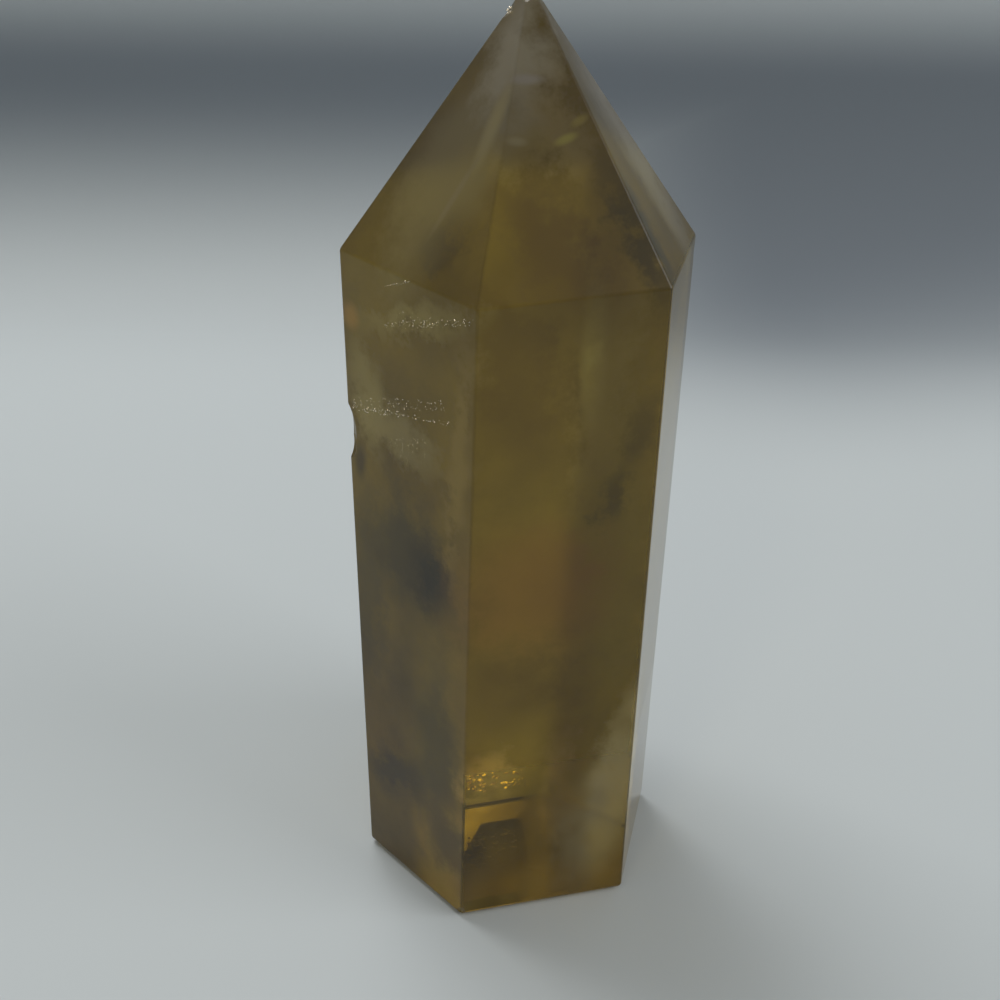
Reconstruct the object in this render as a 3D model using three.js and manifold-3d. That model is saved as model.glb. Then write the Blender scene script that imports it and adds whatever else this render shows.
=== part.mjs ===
// A smoky quartz tower: one crystal, sawn and polished into a six-sided column that ends in a six-sided point.
// Millimetres, +Z up. The origin is on the surface the tower stands on, under the middle of its box, and the
// widest of the polished faces looks along -Y.

import * as THREE from 'three';
import { mergeVertices } from 'three/addons/utils/BufferGeometryUtils.js';
import Module from 'manifold-3d';

const wasm = await Module();
wasm.setup();

// ---- driving dimensions

const HEIGHT = 85.7; // foot to tip
const WIDTH = 27.2; // across the flats, half way up the column
const SHOULDER_HEIGHT = 65.3; // where the column ends and the point begins
const WIDTH_HEIGHT = 32; // the height at which the width is taken
const TIP_OFFSET = { x: -0.25, y: 0.05 }; // how far the tip is off the axis of the column
const FOOT_BEVEL = { height: 0.6, inset: 0.45 }; // polished off the edge of the foot

// The side faces, in order round the column from the one that looks along -Y. They were ground by eye, so
// none is quite true: turn is in degrees off its sixth of a circle, proud is in millimetres off half the
// width, and lean is in degrees off upright, positive where the face leans outwards on its way up. shoulder
// is how far the corner where the face begins lies above or below the shoulder height. The fourth face, at the
// back, is the furthest from true: it leans in, so the column is deepest at its foot.
const SIDE_FACES = [
	{ turn: 0, proud: - 0.1, lean: 0.7, shoulder: - 0.7 },
	{ turn: 2, proud: 0.2, lean: - 0.3, shoulder: 0.1 },
	{ turn: 0, proud: 0, lean: 0.1, shoulder: 0.1 },
	{ turn: 3, proud: 2.4, lean: - 3.5, shoulder: - 0.3 },
	{ turn: 1, proud: 0, lean: 0.4, shoulder: 0.5 },
	{ turn: 1.5, proud: 0, lean: - 0.5, shoulder: 0.3 }
];
const FIRST_FACE_ANGLE = - 90;

// The chips. Each is a shell-shaped scar, hollowed by a ball that bites into an edge: edge is the number of
// the side face that the edge begins, and past the shoulder the same edge runs on to the tip.
const CHIPS = [
	{ edge: 0, height: 0.3, radius: 2.2, depth: 0.35 }, // foot of the front edge
	{ edge: 2, height: 63.9, radius: 0.9, depth: 0.4 }, // under a corner of the shoulder
	{ edge: 5, height: 49.4, radius: 6, depth: 0.6 }, // the long scar in the left edge
	{ edge: 5, height: 48.1, radius: 1.8, depth: 0.75 }, // its deeper end
	{ edge: 5, height: 83.6, radius: 1.4, depth: 0.25 }, // two nicks beside the tip
	{ edge: 0, height: 84.6, radius: 0.9, depth: 0.18 }
];
const BALL_DETAIL = 9; // gives facets of about a tenth of the ball's radius

// ---- geometry

// The outward plane of a side face, moved in towards the axis by inset.
function sidePlane( index, inset = 0 ) {

	const face = SIDE_FACES[ index ];
	const angle = THREE.MathUtils.degToRad( FIRST_FACE_ANGLE + 60 * index + face.turn );
	const lean = THREE.MathUtils.degToRad( face.lean );
	const distance = WIDTH / 2 + face.proud - inset;
	const point = new THREE.Vector3( Math.cos( angle ) * distance, Math.sin( angle ) * distance, WIDTH_HEIGHT );
	const normal = new THREE.Vector3(
		Math.cos( angle ) * Math.cos( lean ),
		Math.sin( angle ) * Math.cos( lean ),
		- Math.sin( lean )
	);
	return new THREE.Plane().setFromNormalAndCoplanarPoint( normal, point );

}

// The point that three planes share.
function meetingPoint( a, b, c ) {

	const rows = new THREE.Matrix3(
		a.normal.x, a.normal.y, a.normal.z,
		b.normal.x, b.normal.y, b.normal.z,
		c.normal.x, c.normal.y, c.normal.z
	);
	return new THREE.Vector3( - a.constant, - b.constant, - c.constant ).applyMatrix3( rows.invert() );

}

// The corner of the column where side face index begins, at a height.
function columnCorner( index, height, inset = 0 ) {

	const before = ( index + SIDE_FACES.length - 1 ) % SIDE_FACES.length;
	const level = new THREE.Plane( new THREE.Vector3( 0, 0, 1 ), - height );
	return meetingPoint( sidePlane( before, inset ), sidePlane( index, inset ), level );

}

function shoulderCorner( index ) {

	return columnCorner( index, SHOULDER_HEIGHT + SIDE_FACES[ index ].shoulder );

}

function tip() {

	return new THREE.Vector3( TIP_OFFSET.x, TIP_OFFSET.y, HEIGHT );

}

// The ground and polished crystal before it was chipped: three rings of corners and the tip. Every face is
// flat, because the corners of each lie on its plane.
function polishedGeometry() {

	const sides = SIDE_FACES.length;
	const foot = SIDE_FACES.map( ( face, i ) => columnCorner( i, 0, FOOT_BEVEL.inset ) );
	const bevel = SIDE_FACES.map( ( face, i ) => columnCorner( i, FOOT_BEVEL.height ) );
	const shoulder = SIDE_FACES.map( ( face, i ) => shoulderCorner( i ) );
	const corners = [ ...foot, ...bevel, ...shoulder, tip() ];
	const last = corners.length - 1;
	const triangles = [];

	for ( let i = 0; i < sides; i ++ ) {

		const next = ( i + 1 ) % sides;

		for ( const ring of [ 0, sides ] ) {

			triangles.push( ring + i, ring + next, ring + sides + next );
			triangles.push( ring + i, ring + sides + next, ring + sides + i );

		}

		triangles.push( 2 * sides + i, 2 * sides + next, last );

		if ( i > 0 && i < sides - 1 ) {

			triangles.push( 0, i + 1, i );

		}

	}

	const geometry = new THREE.BufferGeometry().setFromPoints( corners );
	geometry.setIndex( triangles );
	return geometry;

}

// The ball that hollows out a chip. It is set so that it bites into its edge by the chip's depth, square to
// the edge and between the two faces that meet there.
function chipGeometry( chip ) {

	const foot = columnCorner( chip.edge, 0 );
	const shoulder = shoulderCorner( chip.edge );
	const top = tip();
	const onColumn = chip.height < shoulder.z;
	const from = onColumn ? foot : shoulder;
	const to = onColumn ? shoulder : top;
	const middle = new THREE.Vector3().lerpVectors( from, to, ( chip.height - from.z ) / ( to.z - from.z ) );
	const along = new THREE.Vector3().subVectors( to, from ).normalize();
	const outwards = new THREE.Vector3( middle.x - top.x, middle.y - top.y, 0 );
	outwards.addScaledVector( along, - outwards.dot( along ) ).normalize();
	middle.addScaledVector( outwards, chip.radius - chip.depth );

	const ball = new THREE.IcosahedronGeometry( chip.radius, BALL_DETAIL );
	ball.translate( middle.x, middle.y, middle.z );
	return ball;

}

// ---- solids

function toSolid( geometry ) {

	const bare = geometry.clone();
	bare.deleteAttribute( 'normal' );
	bare.deleteAttribute( 'uv' );
	const merged = mergeVertices( bare );
	return new wasm.Manifold( new wasm.Mesh( {
		numProp: 3,
		vertProperties: merged.getAttribute( 'position' ).array,
		triVerts: new Uint32Array( merged.getIndex().array )
	} ) );

}

function toGeometry( solid ) {

	const mesh = solid.getMesh();
	const geometry = new THREE.BufferGeometry();
	geometry.setAttribute( 'position', new THREE.BufferAttribute( mesh.vertProperties, 3 ) );
	geometry.setIndex( new THREE.BufferAttribute( mesh.triVerts, 1 ) );
	return geometry;

}

// ---- the part

function smokyQuartz() {

	return new THREE.MeshStandardMaterial( { color: '#57482a', roughness: 0.08, metalness: 0, flatShading: true } );

}

function tower() {

	let solid = toSolid( polishedGeometry() );

	for ( const chip of CHIPS ) {

		solid = solid.subtract( toSolid( chipGeometry( chip ) ) );

	}

	const geometry = toGeometry( solid );
	geometry.computeBoundingBox();
	const middle = geometry.boundingBox.getCenter( new THREE.Vector3() );
	geometry.translate( - middle.x, - middle.y, 0 );

	const mesh = new THREE.Mesh( geometry, smokyQuartz() );
	mesh.name = 'quartz_tower';
	return mesh;

}

const part = new THREE.Group();
part.name = 'smoky_quartz_tower';
part.add( tower() );

export default part;
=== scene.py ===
import math
import random

import bpy
from mathutils import Matrix, Vector


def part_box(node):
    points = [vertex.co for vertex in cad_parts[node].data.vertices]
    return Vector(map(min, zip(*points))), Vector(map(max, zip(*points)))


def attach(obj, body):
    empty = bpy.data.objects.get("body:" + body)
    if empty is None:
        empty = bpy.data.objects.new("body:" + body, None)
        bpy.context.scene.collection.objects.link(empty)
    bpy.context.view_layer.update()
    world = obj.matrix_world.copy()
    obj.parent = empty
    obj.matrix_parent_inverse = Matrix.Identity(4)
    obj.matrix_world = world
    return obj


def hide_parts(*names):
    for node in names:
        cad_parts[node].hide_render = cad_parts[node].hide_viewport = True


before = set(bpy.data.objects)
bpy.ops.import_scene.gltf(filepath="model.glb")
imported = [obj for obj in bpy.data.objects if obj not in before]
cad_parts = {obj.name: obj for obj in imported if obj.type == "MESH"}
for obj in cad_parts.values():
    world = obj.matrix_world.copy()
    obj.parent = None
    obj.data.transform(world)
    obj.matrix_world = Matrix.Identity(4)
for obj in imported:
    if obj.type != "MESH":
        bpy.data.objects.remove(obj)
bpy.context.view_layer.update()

MM = 0.001
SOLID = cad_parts["quartz_tower"]

# The stone
ROUGH_BLOCK = 1.2  # how many times the finished stone's size the block is that it's ground from
SMALLEST_FACE = 4  # mm2, under which a flat face belongs to a chip
SAME_PLANE = 0.02  # mm, within which two faces lie in one plane
ARRIS = 0.16  # mm that the polisher took off every edge
ROUND_UP_TO = 9  # degrees between two small faces that still show as one curve
BALL_FACETS = 5  # subdivisions of the balls that hollow out the chips
CHIPS = {  # place of the ball's middle in mm, its radius in mm, how uneven the scar is in mm
    "foot_chip": ((-9.18, -16.85, 0.30), 2.2, 0.06),
    "shoulder_chip": ((16.11, -1.85, 63.90), 0.9, 0.05),
    "long_scar": ((-21.11, -2.27, 49.40), 6.0, 0.10),
    "deep_scar": ((-16.76, -2.25, 48.10), 1.8, 0.08),
    "tip_nick_left": ((-2.76, -2.08, 84.30), 1.4, 0.05),
    "tip_nick_front": ((-0.85, -3.35, 85.03), 0.9, 0.04),
}

# Clouds of the stone, and patches of light and shade painted into its colour: where each starts and ends in mm, how
# far it reaches to the side, its colour and its strength.
CLOUDS_AND_PAINTED_LIGHT = {
    # painted light: the glow of light caught in the chip scars on the left edge
    "notch_glow": ((-14.8, -3.8, 57.0), (-13.6, -5.6, 50.4), 2.5, "#ece0b4", 0.55),
    # painted shade over the middle of the left face, round the dark smoke of left_dark
    "left_shadow": ((-12.9, -7.2, 37.6), (-12.0, -8.6, 42.0), 6.0, "#4a442c", 0.9),
    "left_dark": ((-10.2, -11.4, 36.8), (-9.1, -13.2, 40.7), 3.4, "#1c1a10", 1.0),
    # painted shade along the left edge
    "left_edge": ((-15.4, -2.9, 22.0), (-15.3, -3.0, 43.0), 2.8, "#524c38", 0.65),
    # painted shade: these three darken the lower part of the left face and its foot
    "left_low_dark": ((-15.5, -3.2, 11.0), (-10.6, -11.0, 15.0), 3.0, "#443a28", 0.9),
    "left_foot": ((-9.7, -12.6, 31.0), (-10.2, -11.8, 5.5), 4.0, "#443e26", 0.95),
    "left_foot_dark": ((-10.2, -11.8, 8.6), (-8.0, -15.4, 8.0), 3.6, "#2a2614", 0.85),
    "left_milk": ((-13.5, -5.8, 52.2), (-10.4, -11.0, 50.6), 2.4, "#e0d2ae", 0.7),
    # painted light: a pale strip along the front edge of the left face
    "left_strip": ((-8.2, -14.5, 41.0), (-7.8, -15.1, 63.0), 1.5, "#b89e60", 0.85),
    # painted light: a glow round the top row of glints
    "row_glow": ((-14.4, -4.3, 60.2), (-7.5, -15.2, 63.4), 1.5, "#dccc90", 0.8),
    # painted shade on the upper left of the front face
    "front_high": ((-5.2, -16.0, 64.5), (-2.5, -16.0, 55.0), 4.6, "#6a501a", 0.75),
    "light_band": ((2.1, -16.1, 65.4), (2.3, -16.0, 55.0), 1.2, "#ecdc80", 0.8),
    # painted light beside the pale band
    "band_glow": ((3.9, -16.1, 65.0), (2.7, -15.9, 50.5), 2.7, "#c0a854", 0.75),
    # painted shade, evening out the tone down the right part of the front face against a dark band that the stone's
    # refraction leaves there
    "front_right": ((4.8, -16.0, 62.0), (6.8, -15.4, 8.0), 3.6, "#8e8016", 0.4),
    "honey": ((-5.0, -15.7, 40.0), (2.0, -15.7, 38.0), 6.0, "#b07c34", 0.7),
    "mottle_high": ((7.2, -15.9, 55.6), (6.2, -15.9, 52.0), 1.9, "#3c3018", 0.55),
    "mottle_mid": ((5.2, -15.9, 49.5), (4.6, -15.8, 46.0), 1.5, "#3c3018", 0.6),
    # painted shade on the lower front face
    "front_low": ((-6.0, -15.5, 31.0), (-1.5, -15.6, 27.0), 4.2, "#6a5222", 0.55),
    # painted light: a glow round the glints that glitter in the foot
    "glitter_glow": ((-6.6, -16.8, 17.4), (-4.4, -16.8, 18.4), 2.9, "#ffd878", 0.95),
    # painted light at the end of the amber patch that the foot mirrors
    "wedge_end": ((1.4, -15.5, 20.0), (2.6, -15.4, 7.0), 2.4, "#e4c06c", 0.7),
    # painted light, olive: it brightens the shaded floor seen through the foot
    "foot_olive": ((-1.0, -15.4, 3.0), (6.2, -15.4, 3.2), 4.2, "#d0aa44", 0.85),
    "corner_veil": ((4.4, -15.3, 5.0), (8.4, -15.3, 20.0), 4.0, "#fff0bc", 0.9),
    "wisp_high": ((6.0, -15.3, 13.5), (9.4, -14.2, 28.0), 2.5, "#fff6d4", 0.75),
    "point_glow": ((-1.2, -6.5, 79.5), (1.4, -9.7, 74.6), 2.6, "#d8c080", 0.7),
    "point_honey": ((-3.0, -12.2, 71.5), (1.5, -15.0, 65.0), 4.4, "#6e5424", 0.85),
    # painted shade along the ridge between the front and right faces of the point
    "point_shade": ((4.9, -11.1, 73.2), (7.5, -15.8, 65.0), 2.5, "#3e360c", 0.95),
    "point_patch": ((-9.2, -9.0, 68.4), (-8.0, -11.0, 67.2), 1.8, "#4c3c22", 0.7),
    "left_haze": ((-4.0, -5.6, 78.4), (-11.4, -7.5, 66.8), 4.4, "#e4d6a4", 0.62),
    # painted light that smooths over a step in the point's shading, which the stone's refraction makes
    "point_band": ((-6.2, -7.4, 74.4), (1.4, -9.8, 74.4), 1.9, "#dcc474", 0.5),
    "right_point": ((3.6, -2.4, 80.0), (12.6, -5.6, 66.6), 4.0, "#e8e0d0", 0.85),
    "tip_haze": ((-1.5, -3.4, 84.0), (-2.6, -7.2, 78.0), 3.5, "#f6ecd0", 1.0),
    "streak": ((-2.9, -6.6, 78.9), (-5.5, -8.3, 73.4), 0.85, "#fcecb0", 1.0),
    "streak_tail": ((-5.2, -8.1, 74.2), (-9.2, -8.6, 68.2), 0.36, "#d8c8a4", 0.8),
    "yellow_mark": ((0.5, -9.3, 75.0), (1.8, -9.0, 75.4), 0.42, "#fff27c", 0.9),
    "yellow_arc": ((1.9, -8.6, 76.2), (2.8, -8.3, 76.6), 0.4, "#f4e070", 0.6),
    "milk_mark": ((-2.4, -6.4, 79.1), (-0.3, -6.6, 79.2), 0.5, "#fff8f4", 0.75),
    "milk_low": ((-3.2, -9.1, 75.2), (-2.2, -9.2, 75.1), 0.42, "#f4e8bc", 0.65),
    # painted shade in the hollow of the long chip scar
    "scar_dark": ((-14.9, -3.6, 48.0), (-15.0, -3.4, 45.6), 0.9, "#34281a", 0.8),
    "orange_spot": ((-15.3, -2.8, 60.4), (-15.1, -3.1, 60.0), 1.2, "#f8c070", 0.8),
}

SMOOTH = {"interpolation_type": "SMOOTHSTEP"}
CLEARNESS = 0.86  # the share of the light that passes the surface and isn't scattered by fine cracks under it
QUARTZ_IOR = 1.544
SHEEN = 0.15  # specular level: a felt polish with fine wear mirrors far less than clean glass
TINTS = {0.50: "#7c651a", 0.90: "#ad922f"}  # the stone's browns, from its darker clouds to its paler ones
DEPTH_TINT = "#e0d700"  # what the stone lets through, so blue goes first
DEPTH_DENSITY = 43.0  # and how fast that goes, per metre of stone
CLOUD_SIZE = 10.53  # mm across
SMOKE_SIZE = 3.03  # mm across
SMOKE_SHARE = 0.4  # how much the smoke adds to the clouds
LONG_CLOUD = 1.5  # how many times its reach a cloud's middle line is, from which it's drawn long and not round
CLOUD_FULL = 0.25  # the share of its reach inside which a cloud is at full strength
CLOUD_GONE = 1.25  # and the share outside which it's gone
FRAY = 7  # mm that the smoke pulls a large cloud out of shape
FRAYED_FROM = 1.2  # mm of reach, from which a cloud counts as large
CLEAR_BELOW = 19  # mm, the height up to which the foot is clear
SOFTEST = 0.36  # roughness of the polish
LEFT_FACE = (-0.853, -0.522, 0)  # the way it looks
RIGHT_FACE = (0.883, -0.469, 0)

# The studio, in mm and degrees
CAMERA_PLACE = (-23.33, -91.63, 91.12)
CAMERA_TILT = 61.29  # up from straight down
CAMERA_ROLL = 1.08
CAMERA_TURN = -13.55
CAMERA_LENS = 39.6
FLOOR_DROP = 0.1  # the air under the foot, without which the foot would not mirror
SWEEP_WIDTH = 2400
SWEEP_FRONT = -900
SWEEP_FOLD = 200  # where the floor turns up into the wall behind
SWEEP_HEIGHT = 125
SWEEP_ROUND = 50
GLOW_PLACE = (120, 480, 400)
GLOW_SIZE = (160, 150)
AIR_COLOUR = "#c8ced2"
AIR_STRENGTH = 0.42
SOFTBOXES = {
    # where each hangs and what it points at in mm, its width and height in mm, its watts and its colour
    "key": ((-150, 300, 600), (20, 60, 0), 360, 360, 2.05, "#ffffff"),
    "fill": ((500, -300, 400), (0, 0, 30), 400, 400, 1.3, "#ffffff"),
    "front_top": ((240, -405, 600), (0, 0, 50), 500, 500, 0.12, "#ffe9c8"),
    "front_spark": ((-260, -330, 420), (0, -10, 50), 90, 90, 0.14, "#fff0d0"),
    "left_panel": ((-512, 186, 404), (0, 0, 50), 500, 500, 0.08, "#ffe9c8"),
}
FROM_FRONT_LIGHT = (-0.32, -0.79, 0.53)  # the way a crack in the surface looks to mirror the small front light
FROM_KEY_LIGHT = (-0.26, -0.10, 0.96)  # and a crack deep in the foot to mirror the key light
GLINTS = {
    # where each row starts and ends, how many, how far up and down, the widest and the way that they look, in mm
    "row_high": ((-12.86, -6.70, 60.6), (-7.31, -15.71, 63.5), 90, 0.3, 0.14, FROM_FRONT_LIGHT),
    "row_high_faint": ((-12.04, -8.01, 61.5), (-9.84, -11.61, 62.1), 40, 0.7, 0.10, FROM_FRONT_LIGHT),
    "row_mid": ((-15.33, -2.80, 52.3), (-8.98, -13.10, 55.8), 110, 0.5, 0.14, FROM_FRONT_LIGHT),
    "row_low": ((-15.36, -2.76, 51.7), (-11.58, -8.90, 53.4), 60, 0.25, 0.22, FROM_FRONT_LIGHT),
    "row_low_right": ((-11.58, -8.90, 53.4), (-8.56, -13.81, 54.5), 30, 0.2, 0.16, FROM_FRONT_LIGHT),
    "patch": ((-12.70, -7.12, 49.0), (-10.31, -11.02, 50.6), 90, 1.6, 0.09, FROM_FRONT_LIGHT),
    "arc": ((-12.63, -7.02, 63.8), (-11.01, -9.64, 65.0), 22, 0.12, 0.13, FROM_FRONT_LIGHT),
    "tip": ((-1.9, -2.1, 83.6), (-1.5, -2.6, 83.5), 14, 0.3, 0.3, FROM_FRONT_LIGHT),
    "foot_left": ((-4.9, 12.0, 6.3), (-2.6, 12.6, 5.3), 110, 2.4, 0.85, FROM_KEY_LIGHT),
    "foot": ((-4.6, 12.6, 5.6), (3.0, 12.6, 5.2), 110, 2.4, 0.75, FROM_KEY_LIGHT),
}
GLINT_SEEDS = 50  # the first of the seeds that shape the glints

# ---- small helpers


def linear(code):
    """An sRGB hex colour as the linear colour that a shader socket takes."""
    parts = [int(code[i:i + 2], 16) / 255 for i in (1, 3, 5)]
    return [c / 12.92 if c <= 0.04045 else ((c + 0.055) / 1.055) ** 2.4 for c in parts] + [1.0]


def mm(*values):
    return Vector(values) * MM


def add(tree, kind, settings=None, links=None, values=None, **inputs):
    """Adds a node. settings are its own, links are {its input: an output}, and values are {its input: a number},
    which can also be given by the input's name."""
    made = tree.nodes.new("ShaderNode" + kind)
    for name, value in (settings or {}).items():
        setattr(made, name, value)
    for name, value in (values or {}).items():
        made.inputs[name].default_value = value
    for name, value in inputs.items():
        made.inputs[name.replace("_", " ")].default_value = value
    for name, output in (links or {}).items():
        tree.links.new(output, made.inputs[name])
    return made


def new_material(name):
    """A new node material: the material, its tree and its Principled shader."""
    material = bpy.data.materials.new(name)
    material.use_nodes = True
    return material, material.node_tree, material.node_tree.nodes["Principled BSDF"]


def choose(thing):
    """Makes one object the only selected one and the active one."""
    bpy.ops.object.select_all(action="DESELECT")
    thing.select_set(True)
    bpy.context.view_layer.objects.active = thing


def settle(thing):
    """Puts the object's place, turn and size into its mesh."""
    choose(thing)
    bpy.ops.object.transform_apply(location=True, rotation=True, scale=True)


def finish_with(thing, kind, **settings):
    """Adds a modifier and applies it."""
    choose(thing)
    modifier = thing.modifiers.new(kind.title(), kind)
    for name, value in settings.items():
        setattr(modifier, name, value)
    bpy.ops.object.modifier_apply(modifier=modifier.name)


def uneven(size, depth=2):
    """A cloudy texture for pushing a surface in and out. size is how wide its swells are, in mm."""
    texture = bpy.data.textures.new("swells", "CLOUDS")
    texture.noise_scale = size * MM
    texture.noise_depth = depth
    return texture


def belongs(piece, material):
    """Dresses a new piece of the tower and fixes it to the tower."""
    piece.data.materials.clear()
    piece.data.materials.append(material)
    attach(piece, "root")


# ---- materials


def cloud_and_painted_light(tree, place, start, end, radius, strength):
    """How strong one cloud of the stone, or one patch of light or shade painted into its colour, is at each place:
    strength round its middle line, 0 past its edge. The cloud runs from start to end and reaches radius beyond them,
    all in mm."""
    axis = mm(*end) - mm(*start)
    centre = (mm(*end) + mm(*start)) / 2
    radius *= MM
    if axis.length > radius * LONG_CLOUD:
        # Space is pressed together lengthwise until the cloud is a ball.
        along = axis.normalized()
        press = 1 - radius / (radius + axis.length / 2)
        height = add(tree, "VectorMath", {"operation": "DOT_PRODUCT"}, {0: place}, {1: along * press})
        links = {0: height.outputs["Value"], 2: place}
        place = add(tree, "VectorMath", {"operation": "MULTIPLY_ADD"}, links, {1: -along}).outputs["Vector"]
        centre = centre - along * press * centre.dot(along)
    else:
        radius += axis.length / 4
    away = add(tree, "VectorMath", {"operation": "DISTANCE"}, {0: place}, {1: centre})
    inside = add(tree, "MapRange", SMOOTH, {0: away.outputs["Value"]}, From_Min=CLOUD_GONE * radius,
                 From_Max=CLOUD_FULL * radius, To_Min=0.0, To_Max=strength)
    return inside.outputs["Result"]


def smoky_quartz():
    """Smoky quartz, ground flat and polished on felt: it mirrors softly, a haze of healed cracks too fine to see
    clouds it, and its brown is darker in some clouds than in others and deepens with the depth of stone. Some light
    and shade is painted into its colour as well."""
    material, tree, shader = new_material("smoky_quartz_polished")
    shader.inputs["Transmission Weight"].default_value = CLEARNESS
    shader.inputs["IOR"].default_value = QUARTZ_IOR
    shader.inputs["Specular IOR Level"].default_value = SHEEN
    place = add(tree, "TexCoord").outputs["Object"]

    # Colour zoning: pale and dark clouds 10 mm across, with finer smoke of 3 mm in them.
    wide, fine = 1 / (CLOUD_SIZE * MM), 1 / (SMOKE_SIZE * MM)
    clouds = add(tree, "TexNoise", links={0: place}, Scale=wide, Detail=2.0, Roughness=0.55).outputs["Fac"]
    smoke = add(tree, "TexNoise", links={0: place}, Scale=fine, Detail=4.0, Roughness=0.65).outputs["Fac"]
    mottle = add(tree, "Math", {"operation": "MULTIPLY_ADD"}, {0: smoke, 2: clouds}, {1: SMOKE_SHARE})
    tint = add(tree, "ValToRGB", links={"Fac": mottle.outputs[0]})
    for element, (at, code) in zip(tint.color_ramp.elements, TINTS.items()):
        element.position = at
        element.color = linear(code)

    # Single clouds and pale streaks, and painted light and shade, each in its place. The smoke frays the large ones.
    swirl = add(tree, "CombineXYZ", links={0: smoke, 1: clouds, 2: smoke})
    pull = mm(FRAY, FRAY, FRAY)
    moved = add(tree, "VectorMath", {"operation": "MULTIPLY_ADD"}, {0: swirl.outputs[0], 2: place}, {1: pull})
    frayed = add(tree, "VectorMath", {"operation": "SUBTRACT"}, {0: moved.outputs[0]}, {1: pull / 2}).outputs[0]
    colour = tint.outputs["Color"]
    for start, end, radius, code, strength in CLOUDS_AND_PAINTED_LIGHT.values():
        share = cloud_and_painted_light(tree, frayed if radius > FRAYED_FROM else place, start, end, radius, strength)
        colour = add(tree, "Mix", {"data_type": "RGBA"}, {0: share, 6: colour}, {7: linear(code)}).outputs[2]
    tree.links.new(colour, shader.inputs["Base Color"])

    # The felt leaves the polish soft, and softer in some places than in others. The foot is clear, but for its
    # left front face and the right part of its front, and the right side face is polished best.
    wear = add(tree, "MapRange", {}, {0: smoke}, From_Min=0.3, From_Max=0.7, To_Min=SOFTEST * 0.8, To_Max=SOFTEST)
    part = add(tree, "SeparateXYZ", links={0: place})
    left = add(tree, "VectorMath", {"operation": "DOT_PRODUCT"}, {0: place}, {1: LEFT_FACE})
    right = add(tree, "VectorMath", {"operation": "DOT_PRODUCT"}, {0: place}, {1: RIGHT_FACE})
    zones = {
        # what runs through it, where it starts and ends in mm, from how soft to how soft
        "up": (part.outputs["Z"], CLEAR_BELOW, CLEAR_BELOW + 0.3, 0.03, 1.0),
        "left": (left.outputs["Value"], 14.7, 14.85, 0.0, 1.0),
        "front": (part.outputs["Y"], -12.0, -14.0, 0.0, 1.0),
        "corner": (part.outputs["X"], -3.4, -0.6, 0.0, 0.7),
        "right": (right.outputs["Value"], 14.45, 14.6, 1.0, 0.4),
    }
    soft = {}
    for name, (value, start, end, low, high) in zones.items():
        zone = add(tree, "MapRange", SMOOTH, {0: value}, From_Min=start * MM, From_Max=end * MM,
                   To_Min=low, To_Max=high)
        soft[name] = zone.outputs["Result"]
    softness = soft["front"]
    steps = (("MULTIPLY", soft["corner"]), ("MAXIMUM", soft["up"]), ("MAXIMUM", soft["left"]),
             ("MULTIPLY", soft["right"]), ("MULTIPLY", wear.outputs["Result"]))
    for operation, other in steps:
        softness = add(tree, "Math", {"operation": operation}, {0: softness, 1: other}).outputs[0]
    tree.links.new(softness, shader.inputs["Roughness"])

    absorb = add(tree, "VolumeAbsorption", Color=linear(DEPTH_TINT), Density=DEPTH_DENSITY)
    tree.links.new(absorb.outputs["Volume"], tree.nodes["Material Output"].inputs["Volume"])
    return material


def glint_material():
    """The walls of tiny open cracks. Air in them makes them mirror all the light, so they glint."""
    material, tree, shader = new_material("quartz_crack_glint")
    shader.inputs["Base Color"].default_value = linear("#fff2d8")
    shader.inputs["Metallic"].default_value = 1.0
    shader.inputs["Roughness"].default_value = 0.25
    return material


def pale_card():
    """Matt card, pale and slightly cool, with no gloss. A soft shade lies on it where it turns up into the wall
    and on the right, and the wall gets pale again at its top."""
    material, tree, shader = new_material("pale_card_matt")
    part = add(tree, "SeparateXYZ", links={0: add(tree, "TexCoord").outputs["Object"]})
    up = add(tree, "MapRange", SMOOTH, {0: part.outputs["Z"]}, From_Min=2 * MM, From_Max=50 * MM)
    back = add(tree, "MapRange", SMOOTH, {0: part.outputs["Y"]}, From_Min=60 * MM, From_Max=160 * MM)
    right = add(tree, "MapRange", SMOOTH, {0: part.outputs["X"]}, From_Min=0.0, From_Max=110 * MM)
    fold = add(tree, "Math", {"operation": "MULTIPLY"}, {0: back.outputs["Result"], 1: right.outputs["Result"]})
    dark = add(tree, "Math", {"operation": "MAXIMUM"}, {0: up.outputs["Result"], 1: fold.outputs[0]})
    low = add(tree, "MapRange", SMOOTH, {0: part.outputs["Z"]}, From_Min=82 * MM, From_Max=52 * MM)
    depth = add(tree, "Math", {"operation": "MULTIPLY"}, {0: dark.outputs[0], 1: low.outputs["Result"]})
    shade = add(tree, "ValToRGB", links={"Fac": depth.outputs[0]})
    shade.color_ramp.elements[0].color = linear("#ccd2d3")
    shade.color_ramp.elements[1].color = linear("#7c838a")
    tree.links.new(shade.outputs["Color"], shader.inputs["Base Color"])
    shader.inputs["Roughness"].default_value = 0.9
    return material


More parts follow.
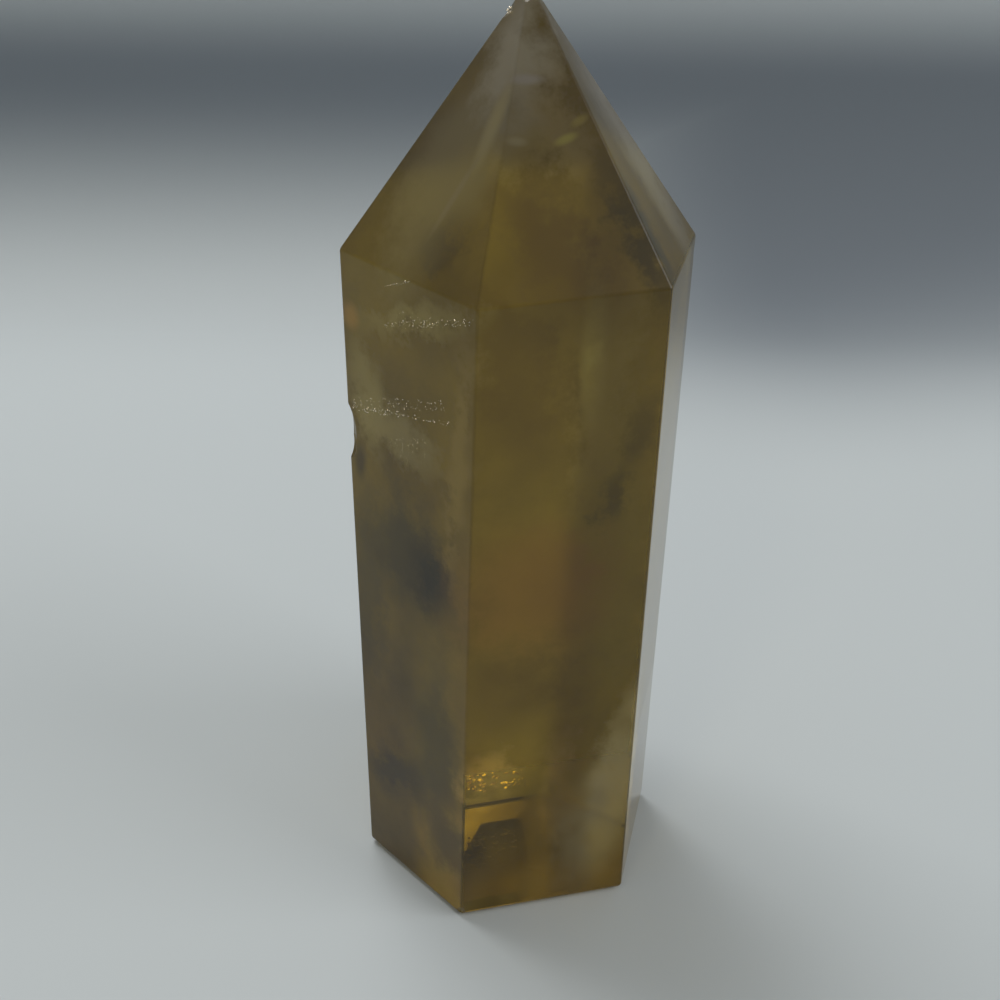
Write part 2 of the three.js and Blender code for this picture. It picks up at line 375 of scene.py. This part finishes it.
def graded_glow():
    """A lit card that fades from left to right, with a black card over its top edge, which rises a little to the
    left. Places are in mm, as on the other card."""
    material, tree, shader = new_material("graded_glow_card")
    part = add(tree, "SeparateXYZ", links={0: add(tree, "TexCoord").outputs["Object"]})
    right, up = part.outputs["X"], part.outputs["Z"]
    fade = add(tree, "MapRange", {}, {0: right}, From_Min=108 * MM, From_Max=155 * MM, To_Min=1.3, To_Max=0.32)
    rim = add(tree, "MapRange", {}, {0: right}, From_Min=106 * MM, From_Max=117 * MM, To_Min=441 * MM, To_Max=424 * MM)
    black = add(tree, "MapRange", {}, {0: up}, From_Min=424 * MM, From_Max=475 * MM, To_Min=0.04, To_Max=0.3)
    over = add(tree, "Math", {"operation": "GREATER_THAN"}, {0: up, 1: rim.outputs["Result"]})
    links = {0: over.outputs[0], 2: fade.outputs["Result"], 3: black.outputs["Result"]}
    glow = add(tree, "Mix", {"data_type": "FLOAT"}, links)
    shader.inputs["Base Color"].default_value = linear("#000000")
    shader.inputs["Emission Color"].default_value = linear("#fff4e0")
    tree.links.new(glow.outputs[0], shader.inputs["Emission Strength"])
    return material


# ---- the studio


def set_camera():
    """The camera looks down at the stone from the left front."""
    data = bpy.data.cameras.new("camera")
    data.sensor_width = 36
    data.lens = CAMERA_LENS
    data.clip_start = 0.001
    made = bpy.data.objects.new("camera", data)
    bpy.context.scene.collection.objects.link(made)
    turn = Matrix.Rotation(math.radians(CAMERA_TURN), 4, "Z")
    tilt = Matrix.Rotation(math.radians(CAMERA_TILT), 4, "X")
    roll = Matrix.Rotation(math.radians(CAMERA_ROLL), 4, "Z")
    made.matrix_world = Matrix.Translation(mm(*CAMERA_PLACE)) @ turn @ tilt @ roll
    bpy.context.scene.camera = made


def select_edges(thing, wanted):
    """Selects the edges whose two ends both pass a test."""
    for vertex in thing.data.vertices:
        vertex.select = False
    for face in thing.data.polygons:
        face.select = False
    for edge in thing.data.edges:
        edge.select = all(wanted(thing.data.vertices[end].co) for end in edge.vertices)


def set_sweep():
    """A card floor that turns up into a wall behind, in one smooth sweep."""
    bpy.ops.object.select_all(action="DESELECT")
    bpy.ops.mesh.primitive_plane_add(size=1, location=mm(0, (SWEEP_FRONT + SWEEP_FOLD) / 2, -FLOOR_DROP))
    sweep = bpy.context.object
    sweep.name = "sweep"
    sweep.scale = mm(SWEEP_WIDTH, SWEEP_FOLD - SWEEP_FRONT, 1000)
    settle(sweep)
    back = SWEEP_FOLD * MM - MM
    select_edges(sweep, lambda corner: corner.y > back)
    bpy.ops.object.mode_set(mode="EDIT")
    bpy.ops.mesh.select_mode(type="EDGE")
    bpy.ops.mesh.extrude_region_move(TRANSFORM_OT_translate={"value": mm(0, 0, SWEEP_HEIGHT)})
    bpy.ops.object.mode_set(mode="OBJECT")
    select_edges(sweep, lambda corner: corner.y > back and corner.z < MM)
    bpy.ops.object.mode_set(mode="EDIT")
    bpy.ops.mesh.bevel(offset=SWEEP_ROUND * MM, segments=12, affect="EDGES")
    bpy.ops.object.mode_set(mode="OBJECT")
    bpy.ops.object.shade_smooth()
    sweep.rotation_euler = (0, 0, math.radians(CAMERA_TURN))
    settle(sweep)
    sweep.data.materials.append(pale_card())


def add_softbox(name, place, target, width, height, power, code):
    """A soft light. Sizes and places are in mm, power in watts."""
    data = bpy.data.lights.new(name, "AREA")
    data.shape = "RECTANGLE"
    data.size = width * MM
    data.size_y = height * MM
    data.energy = power
    data.color = linear(code)[:3]
    made = bpy.data.objects.new(name, data)
    bpy.context.scene.collection.objects.link(made)
    made.location = mm(*place)
    made.rotation_euler = mm(*(a - b for a, b in zip(target, place))).to_track_quat("-Z", "Y").to_euler()


def set_glow():
    """The graded card, standing high behind the stone. The foot mirrors it as an amber patch."""
    bpy.ops.object.select_all(action="DESELECT")
    bpy.ops.mesh.primitive_plane_add(size=1, location=mm(*GLOW_PLACE), rotation=(math.radians(90), 0, 0))
    card = bpy.context.object
    card.name = "glow_card"
    card.scale = mm(*GLOW_SIZE, 1000)
    settle(card)
    card.data.materials.append(graded_glow())


def set_world():
    """The cool light that the room throws back."""
    world = bpy.data.worlds.new("studio_air")
    bpy.context.scene.world = world
    world.use_nodes = True
    air = world.node_tree.nodes["Background"]
    air.inputs["Color"].default_value = linear(AIR_COLOUR)
    air.inputs["Strength"].default_value = AIR_STRENGTH


# ---- the stone


def ground_planes(node):
    """The planes that the stone was ground to: the flat faces of the solid, as pairs of point and normal."""
    found = []
    for face in sorted(node.data.polygons, key=lambda each: -each.area):
        for known in found:
            if face.normal.dot(known[1]) > 0.9999 and abs((face.center - known[0]).dot(known[1])) < SAME_PLANE * MM:
                known[2] += face.area
                break
        else:
            found.append([face.center.copy(), face.normal.copy(), face.area])
    return [(point, normal) for point, normal, area in found if area > SMALLEST_FACE * MM * MM]


def knock_chip(stone, place, radius, roughness):
    """Hollows out one shell-shaped scar with an uneven ball."""
    bpy.ops.object.select_all(action="DESELECT")
    bpy.ops.mesh.primitive_ico_sphere_add(subdivisions=BALL_FACETS, radius=radius * MM, location=mm(*place))
    ball = bpy.context.object
    settle(ball)
    finish_with(ball, "DISPLACE", texture=uneven(radius * 0.5), strength=roughness * MM, texture_coords="LOCAL")
    finish_with(stone, "BOOLEAN", operation="DIFFERENCE", object=ball, solver="EXACT")
    bpy.data.objects.remove(ball)


def cut_stone():
    """Grinds a rough block down to each flat face in turn, as a lapidary does, then softens the edges."""
    low, high = (Vector(corner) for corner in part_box("quartz_tower"))
    bpy.ops.object.select_all(action="DESELECT")
    bpy.ops.mesh.primitive_cube_add(size=1, location=(low + high) / 2)
    stone = bpy.context.object
    stone.name = "smoky_quartz_tower"
    stone.scale = (high - low) * ROUGH_BLOCK
    settle(stone)
    bpy.ops.object.mode_set(mode="EDIT")
    for point, normal in ground_planes(SOLID):
        bpy.ops.mesh.select_all(action="SELECT")
        bpy.ops.mesh.bisect(plane_co=point, plane_no=normal, use_fill=True, clear_outer=True)
    bpy.ops.mesh.select_all(action="SELECT")
    bpy.ops.mesh.remove_doubles(threshold=0.01 * MM)
    bpy.ops.mesh.bevel(offset=ARRIS * MM, segments=2, affect="EDGES")
    bpy.ops.mesh.select_all(action="SELECT")
    bpy.ops.mesh.normals_make_consistent(inside=False)
    bpy.ops.object.mode_set(mode="OBJECT")
    for place, radius, roughness in CHIPS.values():
        knock_chip(stone, place, radius, roughness)
    choose(stone)
    bpy.ops.object.shade_smooth_by_angle(angle=math.radians(ROUND_UP_TO))
    belongs(stone, smoky_quartz())
    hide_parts("quartz_tower")


# ---- what grew inside the stone


def add_glints(name, places, size, facing, material, seed, stray=7):
    """Tiny open cracks, each a flat scale. They lie nearly alike: facing is the way that they look, and stray
    is how many degrees they are off it. size is the widest in mm."""
    rng = random.Random(seed)
    look = Vector(facing).to_track_quat("Z", "Y").to_matrix().to_4x4()
    bpy.ops.object.select_all(action="DESELECT")
    bpy.ops.mesh.primitive_ico_sphere_add(subdivisions=1, radius=0.5 * MM)
    scale = bpy.context.object
    copies = []
    for place in places:
        copy = scale.copy()
        copy.data = scale.data.copy()
        bpy.context.scene.collection.objects.link(copy)
        wide = size * rng.uniform(0.35, 1.0)
        tip = [Matrix.Rotation(math.radians(rng.gauss(0, stray)), 4, axis) for axis in "XY"]
        spin = Matrix.Rotation(rng.uniform(0, 2 * math.pi), 4, "Z")
        shape = Matrix.Diagonal((wide, wide * rng.uniform(0.4, 1.0), 0.04, 1))
        copy.matrix_world = Matrix.Translation(mm(*place)) @ look @ tip[0] @ tip[1] @ spin @ shape
        copies.append(copy)
    bpy.data.objects.remove(scale)
    bpy.ops.object.select_all(action="DESELECT")
    for copy in copies:
        copy.select_set(True)
    bpy.context.view_layer.objects.active = copies[0]
    bpy.ops.object.join()
    glints = bpy.context.object
    glints.name = name
    settle(glints)
    belongs(glints, material)


def along(start, end, count, rise, seed):
    """Places strewn along a line, about rise mm above and below it."""
    rng = random.Random(seed)
    line = Vector(end) - Vector(start)
    return [Vector(start) + line * rng.random() + Vector((0, 0, rng.uniform(-rise, rise))) for _ in range(count)]


set_camera()
set_world()
set_sweep()
set_glow()
for name, settings in SOFTBOXES.items():
    add_softbox(name, *settings)
cut_stone()

glint = glint_material()
for number, (name, (start, end, count, rise, widest, facing)) in enumerate(GLINTS.items()):
    places = along(start, end, count, rise, number)
    add_glints("glints_" + name, places, widest, facing, glint, number + GLINT_SEEDS)

scene = bpy.context.scene
scene.view_settings.view_transform = "Standard"
scene.cycles.sample_clamp_indirect = 3.0
